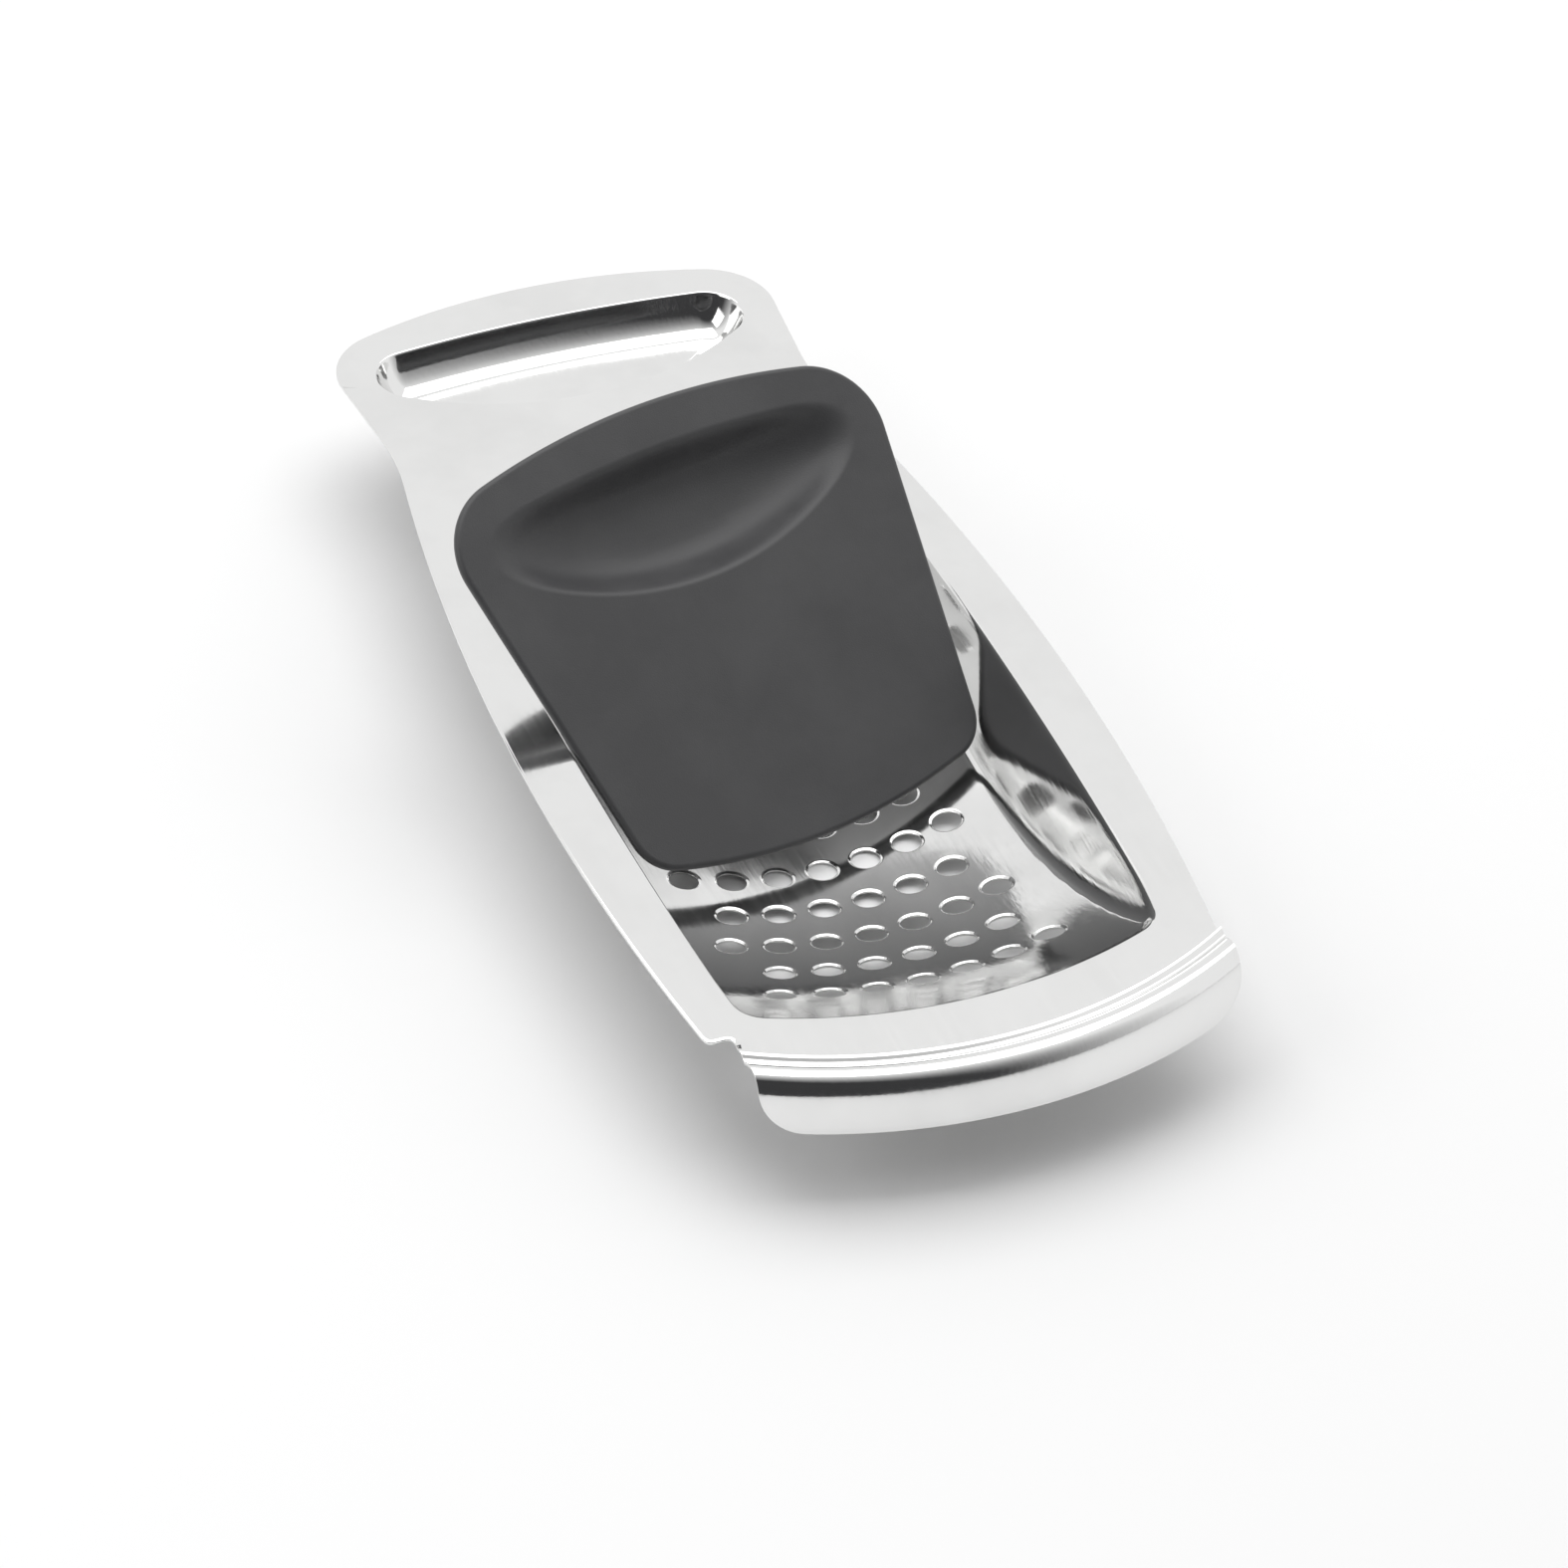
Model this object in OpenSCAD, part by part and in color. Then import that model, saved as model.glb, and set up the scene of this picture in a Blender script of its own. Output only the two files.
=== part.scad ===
// Spaetzle press-through strainer with its scraper, millimetres, +Z up, +Y towards the handle.
// The strainer is pressed from one steel sheet: a perforated trough with a curved floor,
// a flat flange round it, a handle end with a thumb dish and a front hook for a pot rim.
// The scraper lies in the trough, leaning back, and sweeps to and fro over the curved floor.

/* [Sheet] */
// Thickness of the steel sheet
sheet_t = 1.0; // [0.6:0.1:1.5]

/* [Trough] */
// Length of the trough's opening at the flange
trough_len = 206; // [170:1:250]
// Width of the trough's opening at its middle
trough_w = 111.6; // [90:0.5:140]
// Depth of the trough's floor below the flange's top face
trough_depth = 32.5; // [26:0.1:40]
// Inward lean of the side walls, in mm per mm of depth
wall_lean = 0.25; // [0.1:0.01:0.35]
// Radius of the floor's curve across the trough
floor_cross_r = 200; // [150:1:400]
// Bow radius of the long edges of the opening
trough_side_r = 1600; // [900:10:4000]
// Bow radius of the two short edges of the opening
trough_end_r = 127.3; // [90:0.1:300]
// Corner radius of the opening
trough_corner_r = 9; // [9:0.5:16]

/* [Perforation] */
// Diameter of a hole
hole_d = 7.4; // [4:0.1:8]
// Distance between neighbouring holes in a row
hole_pitch = 11.45; // [10:0.05:14]
// Distance between neighbouring rows
row_pitch = 15.8; // [13:0.1:20]
// Distance from the trough's front edge to the first row
first_row = 29; // [26:0.5:40]
// Width kept free of hole centres beside each side wall
hole_margin = 13; // [10:0.5:20]
// Bow radius of a row, whose ends bend back towards the handle
row_bow_r = 128; // [100:1:600]

/* [Flange] */
// Width of the flange beside the trough, at its widest
flange_side = 14.15; // [10:0.05:25]
// Distance of the widest place behind the middle of the trough
flange_widest_y = -3.4; // [-10:0.1:10]
// Width of the flange between the trough and the hook's groove
front_land = 14; // [10:0.1:25]

/* [Handle] */
// How much narrower the waist is than the flange, on each side
waist_in = 13.45; // [11:0.05:16]
// Distance from the trough's rear edge to the narrowest place of the waist
waist_behind = 41.7; // [38:0.1:50]
// Radius of the hollow curve at the waist
waist_r = 80; // [60:1:120]
// Distance from the trough's rear edge to the place where the pot's far rim carries the flange
rest_in = 27; // [20:0.5:28]
// Distance from the trough's rear edge to the end of the handle
handle_len = 97.5; // [94:0.5:130]
// Outward lean of the handle's sides, in degrees
handle_flare = 5; // [2:0.5:8]
// Bow radius of the handle's end
handle_end_r = 150; // [100:1:300]
// Corner radius of the handle's end
handle_corner_r = 18; // [8:0.5:20]

/* [Thumb dish] */
// Width of the margin between the dish and the handle's end
dish_margin = 14.5; // [11:0.1:20]
// Length of the dish along the handle
dish_len = 34.9; // [28:0.1:36]
// Radius of the dish's front edge
dish_front_r = 78.4; // [66:0.1:90]
// Radius of the dish's rear edge
dish_rear_r = 348; // [200:1:500]
// Corner radius of the dish
dish_corner_r = 10; // [6:0.1:12]
// Depth of the dish below the flange's top face
dish_depth = 9; // [4:0.1:12]
// How far the dish's walls lean in over its depth
dish_lean = 4; // [1:0.1:5]

/* [Hook] */
// Outer radius of the pot rim that the hook is made for
pot_rim_r = 129.5; // [125:0.1:140]
// Width of that pot's rolled rim
pot_rim_w = 7; // [4:0.1:8]
// Gap between the groove and the inside of the pot rim
rim_gap = 1.5; // [0.5:0.1:3]
// Radius of the groove's hollow
groove_r = 2.2; // [1.8:0.1:3.2]
// Depth of the groove below the flange's top face
groove_depth = 1.5; // [1:0.1:1.8]
// Radius of the bead that lies over the pot rim
bead_r = 5; // [4.5:0.1:7]
// Height of the bead above the flange's top face
bead_rise = 0.6; // [0.2:0.1:2]
// Height of the hook from the top of the bead to its lower edge
hook_h = 14.1; // [12:0.1:20]
// Distance of the hook's left end inside the flange's corner
hook_left_in = 6; // [3:0.5:20]
// Distance of the hook's right end beyond the flange's corner
hook_right_out = 1.4; // [0:0.1:3]
// Radius of the hook's lower corners
hook_corner_r = 10; // [4:0.5:11]
// Length that is cut from the flange beside the hook's left end
relief_len = 2; // [1:0.1:3]

/* [Scraper] */
// Length of the scraper
scraper_len = 115.5; // [100:0.5:135]
// Thickness of the scraper
scraper_t = 3.5; // [3:0.1:5]
// How far the underside stands back from the top face's edge, all round
scraper_taper = 2; // [1:0.1:3]
// Outward lean of the scraper's sides, in mm per mm of length
scraper_flare = 0.148; // [0.05:0.001:0.2]
// Bow radius of the lower edge
scraper_edge_r = 161; // [120:1:300]
// Bow radius of the upper edge
scraper_top_r = 205; // [150:1:400]
// Radius of the lower corners
scraper_low_corner_r = 12; // [6:0.5:16]
// Radius of the upper corners
scraper_top_corner_r = 19; // [10:0.5:28]
// Lean of the scraper against the flange, in degrees
scraper_pitch = 39.1; // [34:0.1:46]
// Turn of the scraper about the vertical, in degrees
scraper_yaw = 13; // [0:0.5:15]
// Distance of the lower edge from the middle of the trough, positive to the rear
scraper_y = -6.2; // [-12:0.1:8]
// Sideways distance of the lower edge from the middle of the trough
scraper_x = 4.6; // [2:0.1:6]
// Gap that the dough keeps between the lower edge and the floor
dough_gap = 7.6; // [6:0.1:9]
// Gap between the scraper and the flange at its nearer side
scraper_side_gap = 1.1; // [1:0.1:3]

/* [Finger hollow] */
// Distance from the scraper's upper edge to the hollow
hollow_margin = 12.5; // [10:0.5:16]
// Length of the hollow along the scraper
hollow_len = 32.6; // [26:0.1:34]
// Radius of the hollow's lower edge
hollow_low_r = 85; // [72:0.5:95]
// Radius of the hollow's upper edge
hollow_high_r = 300; // [200:1:500]
// Corner radius of the hollow
hollow_corner_r = 9; // [6:0.5:10]
// Depth of the hollow
hollow_depth = 9; // [5:0.1:12]
// How far the hollow's walls lean in over its depth
hollow_lean = 4; // [1:0.1:5]
// Wall of the hollow behind the scraper
hollow_wall = 2.4; // [1.5:0.1:3]

/* [Hidden] */
$fn = 96;
big_fn = 240;
hole_fn = 32;
arc_steps = 14;
past = 1;
skin = 0.01;

// Heights: the flange's underside is at zero, and its top face at sheet_t
half_len = trough_len / 2;
half_w = trough_w / 2;
floor_r = (half_len * half_len + trough_depth * trough_depth) / (2 * trough_depth);
floor_axis_z = sheet_t - trough_depth + floor_r;
wall_inset = wall_lean * trough_depth;
barrel_half = half_w + trough_corner_r;
barrel_angle = asin(barrel_half / floor_cross_r);
cross_rise = floor_cross_r * (1 - cos(barrel_angle));

// Rows start at the front and stop as far from the rear edge
row_count = floor((trough_len - 2 * first_row) / row_pitch) + 1;
side_holes = floor((half_w - wall_inset - hole_margin) / hole_pitch);

// The hook's rings share the pot rim's centre line; y is measured from the trough's middle
groove_in_r = pot_rim_r - pot_rim_w - rim_gap;
hook_y = groove_in_r - half_len - front_land;
groove_z = groove_r - groove_depth;
groove_c = groove_in_r + sqrt(groove_r * groove_r - groove_z * groove_z);
bead_z = bead_rise - bead_r;
bead_c = groove_c + sqrt(pow(groove_r + bead_r, 2) - pow(groove_z - bead_z, 2));
hook_out = bead_c + bead_r;
skirt_z = bead_rise - hook_h;

// Handle and dish, measured from the trough's middle
handle_end_y = half_len + handle_len;
dish_far = handle_end_y - dish_margin;
dish_near = dish_far - dish_len;

// The origin is under the neck; the sheet is divided halfway between it and the trough
rest_y = half_len + rest_in;
part_y = (half_len + rest_y) / 2;

// The scraper's lower edge hangs over the floor by the dough's gap, and its sides
// just clear the flange where they pass it
floor_rise = floor_r - sqrt(floor_r * floor_r - scraper_y * scraper_y);
edge_drop = trough_depth - dough_gap - floor_rise;
pass_len = edge_drop / sin(scraper_pitch);
pass_shift = pass_len * cos(scraper_pitch) * sin(scraper_yaw) - scraper_x;
pass_half = (half_w - scraper_side_gap - pass_shift) / cos(scraper_yaw);
blade_half = pass_half - scraper_flare * pass_len;
side_lean = atan(scraper_flare);

// Points along an arc about c from angle a to angle b
function turn(c, r, a, b) = [for (i = [0:arc_steps]) let (q = a + (b - a) * i / arc_steps)
    [c[0] + r * cos(q), c[1] + r * sin(q)]];
function backwards(pts) = [for (i = [len(pts) - 1:-1:0]) pts[i]];
function flip_x(pts) = [for (q = backwards(pts)) [-q[0], q[1]]];
function flip_y(pts) = [for (q = backwards(pts)) [q[0], -q[1]]];
function both_sides(pts) = concat(pts, flip_x(pts));
function bearing(a, b) = atan2(b[1] - a[1], b[0] - a[0]);

// Where two circles cross, on the right of the line from a to b
function cross_point(a, ra, b, rb) = let (d = norm(b - a), k = (d * d + ra * ra - rb * rb) / (2 * d),
    h = sqrt(ra * ra - k * k), e = (b - a) / d) a + k * e + h * [e[1], -e[0]];

// Centre of a rounding of radius f between a line (point p, direction e, inward normal n)
// and a circle of radius r about c, ahead of p for s = 1 and behind it for s = -1
function round_centre(p, e, n, f, c, r, s) = let (q = p + f * n - c, b = e * q)
    c + q + (s * sqrt(b * b - q * q + pow(r - f, 2)) - b) * e;

// The opening, grown by g
end_centre = [0, trough_end_r - half_len];
side_centre = [half_w - trough_side_r, 0];
opening_corner = cross_point(side_centre, trough_side_r - trough_corner_r,
    end_centre, trough_end_r - trough_corner_r);
opening_a = bearing(end_centre, opening_corner);
opening_b = bearing(side_centre, opening_corner);
function opening_quarter(g) = concat(turn(end_centre, trough_end_r + g, -90, opening_a),
    turn(opening_corner, trough_corner_r + g, opening_a, opening_b),
    turn(side_centre, trough_side_r + g, opening_b, 0));
function opening(g) = both_sides(concat(opening_quarter(g), flip_y(opening_quarter(g))));

// A half-moon between a low arc and a high arc, rounded at its two ends, grown by g
function half_moon(low_y, low_r, high_y, high_r, f, g) = let (a = [0, low_y + low_r],
    b = [0, high_y - high_r], c = cross_point(b, high_r - f, a, low_r - f)) both_sides(concat(
    turn(a, low_r + g, -90, bearing(a, c)),
    turn(c, f + g, bearing(a, c), bearing(b, c)),
    turn(b, high_r + g, bearing(b, c), 90)));

// The plate's outline: the groove's arc, the long edge, the waist, the flared side, the end
// The long edge is bowed so that it meets the waist's curve without a corner
flange_half = half_w + flange_side;
waist_c = [flange_half - waist_in + waist_r, half_len + waist_behind];
waist_run = waist_c[1] - flange_widest_y;
flange_side_r = (waist_run * waist_run + waist_in * waist_in) / (2 * waist_in) - waist_r;
plate_side = [flange_half - flange_side_r, flange_widest_y];
flare_dir = [sin(handle_flare), cos(handle_flare)];
flare_in = [-cos(handle_flare), sin(handle_flare)];
flare_start = waist_c + waist_r * flare_in;
end_c = [0, handle_end_y - handle_end_r];
end_corner = round_centre(flare_start, flare_dir, flare_in, handle_corner_r, end_c, handle_end_r, 1);
groove_mid = [0, hook_y];
plate_front = cross_point(plate_side, flange_side_r, groove_mid, groove_in_r);
plate_half = concat(
    turn(groove_mid, groove_in_r, -90, bearing(groove_mid, plate_front)),
    turn(plate_side, flange_side_r, bearing(plate_side, plate_front), bearing(plate_side, waist_c)),
    turn(waist_c, waist_r, bearing(waist_c, plate_side) + 360, 180 - handle_flare),
    turn(end_corner, handle_corner_r, -handle_flare, bearing(end_c, end_corner)),
    turn(end_c, handle_end_r, bearing(end_c, end_corner), 90));
hook_left = plate_front[0] - hook_left_in;
hook_right = plate_front[0] + hook_right_out;

module solid_between(low_pts, low_z, high_pts, high_z) {
    hull() {
        translate([0, 0, low_z]) linear_extrude(skin) polygon(low_pts);
        translate([0, 0, high_z - skin]) linear_extrude(skin) polygon(high_pts);
    }
}

// A barrel lying across the trough: its skin is the floor, curved both ways, grown by g
module floor_barrel(g) {
    translate([0, 0, floor_axis_z]) rotate([0, 90, 0]) rotate_extrude($fn = big_fn)
        polygon(concat([[0, -barrel_half]],
            turn([floor_r - floor_cross_r, 0], floor_cross_r + g, -barrel_angle, barrel_angle),
            [[0, barrel_half]]));
}

// The trough as a full form, grown by g on every side, up to the height top
module trough_form(g, top) {
    intersection() {
        solid_between(opening(g - wall_inset), sheet_t - trough_depth - g, opening(g), top);
        floor_barrel(g);
    }
}

// Holes square to the curved floor; every other row is set over by half a pitch
module perforation() {
    for (row = [0:row_count - 1]) {
        odd = row % 2;
        for (i = [odd:2 * side_holes]) {
            x = (i - side_holes - odd / 2) * hole_pitch;
            bend = row_bow_r - sqrt(row_bow_r * row_bow_r - x * x);
            y = first_row - half_len + row * row_pitch + bend;
            translate([x, 0, floor_axis_z]) rotate([asin(y / floor_r), 0, 0])
                translate([0, 0, -floor_r - sheet_t - past])
                cylinder(d = hole_d, h = sheet_t + cross_rise + 2 * past, $fn = hole_fn);
        }
    }
}

module trough() {
    color("silver") difference() {
        trough_form(sheet_t, sheet_t);
        trough_form(0, sheet_t + past);
        perforation();
    }
}

// The flat sheet, with the corner beside the hook's left end cut back
module plate() {
    difference() {
        linear_extrude(sheet_t) polygon(both_sides(plate_half));
        translate([-hook_left - flange_half, hook_y - groove_in_r, -past])
            cube([flange_half, groove_in_r + plate_front[1] - hook_y + relief_len, sheet_t + 2 * past]);
    }
}

module flange() {
    color("gainsboro") difference() {
        plate();
        translate([0, 0, -past]) linear_extrude(sheet_t + 2 * past) polygon(opening(sheet_t));
        translate([-2 * half_w, part_y, -past]) cube([4 * half_w, handle_len, sheet_t + 2 * past]);
    }
}

function dish(g) = half_moon(dish_near, dish_front_r, dish_far, dish_rear_r, dish_corner_r, g);

module handle() {
    color("whitesmoke") difference() {
        union() {
            intersection() {
                plate();
                translate([-2 * half_w, part_y, -past])
                    cube([4 * half_w, 2 * handle_len, sheet_t + 2 * past]);
            }
            solid_between(dish(sheet_t - dish_lean), -dish_depth, dish(sheet_t), sheet_t);
        }
        solid_between(dish(-dish_lean), sheet_t - dish_depth, dish(0), sheet_t + skin);
    }
}

// Section of the hook: groove, bead over the rim, skirt down to the lower edge
groove_end = atan2(bead_z - groove_z, bead_c - groove_c);
function hook_face(d) = concat(
    turn([groove_c, groove_z], groove_r + d, -180 + asin(groove_z / groove_r), groove_end),
    turn([bead_c, bead_z], bead_r - d, 180 + groove_end, 0));
hook_section = concat(hook_face(0), [[hook_out, skirt_z], [hook_out - sheet_t, skirt_z]],
    backwards(hook_face(sheet_t)));

module hook() {
    r = hook_corner_r;
    front_view = concat(
        turn([r - hook_left, skirt_z + r], r, 180, 270),
        turn([hook_right - r, skirt_z + r], r, 270, 360),
        [[hook_right, bead_rise + past], [-hook_left, bead_rise + past]]);
    translate([0, hook_y, sheet_t]) color("gray") intersection() {
        difference() {
            rotate_extrude($fn = big_fn) polygon(hook_section);
            translate([0, 0, -hook_h]) cylinder(r = groove_in_r, h = 2 * hook_h, $fn = big_fn);
        }
        rotate([90, 0, 0]) linear_extrude(hook_out + past) polygon(front_view);
    }
}

// The scraper in its own plane: +Y up its length from the lower edge, +Z out of its front face
low_c = [0, scraper_edge_r];
top_c = [0, scraper_len - scraper_top_r];
side_start = [blade_half, 0];
side_dir = [sin(side_lean), cos(side_lean)];
side_in = [-cos(side_lean), sin(side_lean)];
low_corner = round_centre(side_start, side_dir, side_in, scraper_low_corner_r, low_c, scraper_edge_r, -1);
top_corner = round_centre(side_start, side_dir, side_in, scraper_top_corner_r, top_c, scraper_top_r, 1);
function blade(g) = both_sides(concat(
    turn(low_c, scraper_edge_r + g, -90, bearing(low_c, low_corner)),
    turn(low_corner, scraper_low_corner_r + g, bearing(low_c, low_corner), -side_lean),
    turn(top_corner, scraper_top_corner_r + g, -side_lean, bearing(top_c, top_corner)),
    turn(top_c, scraper_top_r + g, bearing(top_c, top_corner), 90)));
hollow_far = scraper_len - hollow_margin;
function hollow(g) = half_moon(hollow_far - hollow_len, hollow_low_r, hollow_far, hollow_high_r,
    hollow_corner_r, g);

module scraper_flat() {
    difference() {
        union() {
            solid_between(blade(-scraper_taper), -scraper_t, blade(0), 0);
            solid_between(hollow(hollow_wall - hollow_lean), -hollow_depth - hollow_wall,
                hollow(hollow_wall), -scraper_t + skin);
        }
        solid_between(hollow(-hollow_lean), -hollow_depth, hollow(0), skin);
    }
}

module scraper() {
    color([0.25, 0.25, 0.26]) translate([scraper_x, scraper_y, sheet_t - edge_drop])
        rotate([scraper_pitch, 0, scraper_yaw]) scraper_flat();
}

translate([0, -rest_y, 0]) {
    trough();
    flange();
    handle();
    hook();
    scraper();
}
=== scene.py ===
import math

import bpy
import numpy as np
from mathutils import Matrix, Vector
from mathutils.geometry import delaunay_2d_cdt


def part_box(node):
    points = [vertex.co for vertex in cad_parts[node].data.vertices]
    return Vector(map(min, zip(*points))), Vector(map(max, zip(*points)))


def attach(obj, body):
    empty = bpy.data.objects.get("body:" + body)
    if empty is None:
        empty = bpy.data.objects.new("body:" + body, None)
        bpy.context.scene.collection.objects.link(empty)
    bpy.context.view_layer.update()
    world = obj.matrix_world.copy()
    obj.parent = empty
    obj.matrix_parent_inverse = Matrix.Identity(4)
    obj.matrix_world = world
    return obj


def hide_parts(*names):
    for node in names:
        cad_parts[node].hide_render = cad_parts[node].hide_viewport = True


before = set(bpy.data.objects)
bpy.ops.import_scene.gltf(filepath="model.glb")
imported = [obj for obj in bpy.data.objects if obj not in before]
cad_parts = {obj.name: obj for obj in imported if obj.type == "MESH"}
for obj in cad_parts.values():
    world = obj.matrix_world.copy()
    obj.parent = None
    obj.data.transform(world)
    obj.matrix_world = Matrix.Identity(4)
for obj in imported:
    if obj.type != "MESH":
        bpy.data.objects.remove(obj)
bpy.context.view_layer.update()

# Lengths are in millimetres until a mesh is made. Plans are drawn with y from the trough's middle.
MM = 0.001


def box_mm(node):
    """Lowest and highest corner of a CAD node, in millimetres."""
    low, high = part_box(node)
    return np.array(low) / MM, np.array(high) / MM


trough_low, trough_high = box_mm("trough")
flange_low, flange_high = box_mm("flange")
_, handle_high = box_mm("handle")

# Pan
SHEET = flange_high[2] - flange_low[2]
TOP_Z = flange_high[2]
MID_Y = (trough_low[1] + trough_high[1]) / 2
HALF_LEN = (trough_high[1] - trough_low[1]) / 2 - SHEET
HALF_W = (trough_high[0] - trough_low[0]) / 2 - SHEET
DEPTH = -trough_low[2]
FLANGE_HALF = flange_high[0]
HANDLE_END = handle_high[1] - MID_Y
FLOOR_R = (HALF_LEN ** 2 + DEPTH ** 2) / (2 * DEPTH)
FLOOR_CROSS_R = 200.0
WALL_LEAN = 0.25
OPENING = {"side_r": 1600.0, "end_r": 127.3, "corner_r": 9.0}
WALL_FOOT_BLEND = 11.0
LIP_BLEND = 2.4
EDGE_ROLL = 0.5
EDGE_DROP = 0.2

# Flange and handle outline
WIDEST_Y = -3.4
WAIST_IN = 13.45
WAIST_R = 80.0
WAIST_Y = HALF_LEN + 41.7
SIDE_R = ((WAIST_Y - WIDEST_Y) ** 2 + WAIST_IN ** 2) / (2 * WAIST_IN) - WAIST_R
FLARE = 5.0
END_R = 150.0
END_CORNER_R = 18.0
RELIEF = 2.0
NOTCH_ROUND = 1.8

# Holes
HOLE_R = 3.7
HOLE_PITCH = 11.45
HOLES_ACROSS = 7
ROW_PITCH = 15.8
FIRST_ROW = 29.0
ROW_BOW_R = 128.0
HOLE_ROLL = 0.75
HOLE_DIP = 0.32

# Thumb dish
DISH = {"margin": 14.5, "length": 34.9, "front_r": 78.4, "rear_r": 348.0, "corner_r": 10.0}
DISH_BOWL = {"depth": 9.0, "width": 10.0, "lip": 0.8, "power": 2.8}

# Hook, whose rings share the centre line of the pot rim
HOOK_Y = 4.0
GROOVE_R = 121.0
HOOK_LEFT_IN = 6.0
HOOK_RIGHT_OUT = 1.4
HOOK_CORNER_R = 10.0
SKIRT_R = 133.2
SKIRT_Z = -13.5
SKIRT_TOP_Z = -12.0

# Scraper
SCRAPER_LEN = 115.5
SCRAPER_T = 3.5
SCRAPER_PITCH = 39.1
SCRAPER_YAW = 13.0
SCRAPER_X = 4.6
SCRAPER_Y = -6.2
DOUGH_GAP = 7.6
SIDE_GAP = 1.1
SCRAPER_FLARE = 0.148
BLADE = {"edge_r": 161.0, "top_r": 205.0, "low_corner_r": 12.0, "top_corner_r": 19.0}
BLADE_ROUND = 1.3
BLADE_TAPER = 2.0
HOLLOW = {"margin": 12.5, "length": 32.6, "low_r": 85.0, "high_r": 300.0, "corner_r": 9.0}
HOLLOW_BOWL = {"depth": 9.0, "width": 11.5, "lip": 3.0, "power": 2.2}
HOLLOW_BLEND = 22.0
HOLLOW_WALL = 2.4


# Mesh detail: how finely each curve is divided, and how far rings of points stand from an outline
FEWEST_ARC_POINTS = 6
SAME_POINT = 0.02
POINTS_AT_ONCE = 4000
PLAN_REACH = 160
HOOK_COLUMNS = 64
SPLINE_STEPS = 5
SKIRT_STEPS = 14
CORNER_STEPS = 7
HOLE_TURN = 12
HOLE_RINGS = (HOLE_R, HOLE_R + 0.2, HOLE_R + 0.45, HOLE_R + HOLE_ROLL)
LIP_RINGS = (1.4, 0.9, 0.5, 0.2, -0.1, -0.4, -0.7, -1.1, -1.6, -2.2, -2.9, -3.7, -4.5, -5.3, -6.1, -6.9,
             -7.7, -8.5)
FOOT_RINGS = (9.2, 10.0, 10.8, 11.7, 12.7)
DISH_RINGS = (0.9, 0.5, 0.25, 0, -0.25, -0.5, -0.8, -1.2, -1.7, -2.3, -3.0, -3.8, -4.7, -5.7, -6.8, -8.0,
              -9.2)
BLADE_RINGS = (-0.03, -0.12, -0.28, -0.5, -0.8, -1.1, -1.4, -1.8, -2.3, -3.5)
HOLLOW_RINGS = (3.0, 2.4, 1.8, 1.3, 0.8, 0.3, -0.3, -1, -1.7, -2.4, -3.1, -3.8, -4.6, -5.4, -6.2, -7.0,
                -7.8)
EDGE_LINE = 0.25
EDGE_BULGE = 0.14
EDGE_SHARES = (0.22, 0.78)
NORMAL_STEP = 0.02


# ---------------------------------------------------------------- plan curves
def arc(centre, radius, start, stop, step=1.5, grow=0.0):
    """Points along an arc, as many at every growth; angles in degrees."""
    count = max(FEWEST_ARC_POINTS, int(abs(radius * math.radians(stop - start)) / step) + 1)
    angle = np.radians(np.linspace(start, stop, count))
    reach = radius + grow
    return np.c_[centre[0] + reach * np.cos(angle), centre[1] + reach * np.sin(angle)]


def bearing(a, b):
    return math.degrees(math.atan2(b[1] - a[1], b[0] - a[0]))


def cross_point(a, radius_a, b, radius_b):
    """Where two circles cross, on the right of the line from a to b."""
    a, b = np.array(a, float), np.array(b, float)
    gap = np.linalg.norm(b - a)
    along = (gap ** 2 + radius_a ** 2 - radius_b ** 2) / (2 * gap)
    across = math.sqrt(radius_a ** 2 - along ** 2)
    way = (b - a) / gap
    return a + along * way + across * np.array([way[1], -way[0]])


def round_centre(point, way, inward, fillet, centre, radius, side):
    """Centre of a rounding between a straight edge and a circle."""
    offset = np.array(point) + fillet * np.array(inward) - np.array(centre)
    reach = offset @ way
    root = math.sqrt(reach ** 2 - offset @ offset + (radius - fillet) ** 2)
    return np.array(centre) + offset + (side * root - reach) * np.array(way)


def join(*runs):
    """Runs of points as one line, without repeated points."""
    points = np.vstack(runs)
    keep = np.r_[True, np.linalg.norm(np.diff(points, axis=0), axis=1) > SAME_POINT]
    return points[keep]


def mirrored(half):
    """A closed outline from its right half, which runs from front to rear."""
    left = half[::-1] * [-1, 1]
    points = join(half, left)
    return points[:-1] if np.linalg.norm(points[0] - points[-1]) < SAME_POINT else points


def opening_loop(grow=0.0):
    end_r, side_r, corner_r = OPENING["end_r"], OPENING["side_r"], OPENING["corner_r"]
    end = (0, end_r - HALF_LEN)
    side = (HALF_W - side_r, 0)
    corner = cross_point(side, side_r - corner_r, end, end_r - corner_r)
    a, b = bearing(end, corner), bearing(side, corner)
    quarter = join(arc(end, end_r, -90, a, 1.8, grow), arc(corner, corner_r, a, b, 0.8, grow),
                   arc(side, side_r, b, 0, 1.8, grow))
    return mirrored(join(quarter, quarter[::-1] * [1, -1]))


def half_moon(low_y, low_r, high_y, high_r, corner_r, grow=0.0):
    low, high = (0, low_y + low_r), (0, high_y - high_r)
    corner = cross_point(high, high_r - corner_r, low, low_r - corner_r)
    a, b = bearing(low, corner), bearing(high, corner)
    return mirrored(join(arc(low, low_r, -90, a, 1.2, grow), arc(corner, corner_r, a, b, 0.7, grow),
                         arc(high, high_r, b, 90, 1.2, grow)))


def dish_arcs():
    far = HANDLE_END - DISH["margin"]
    return far - DISH["length"], DISH["front_r"], far, DISH["rear_r"]


def hollow_arcs():
    far = SCRAPER_LEN - HOLLOW["margin"]
    return far - HOLLOW["length"], HOLLOW["low_r"], far, HOLLOW["high_r"]


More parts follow.
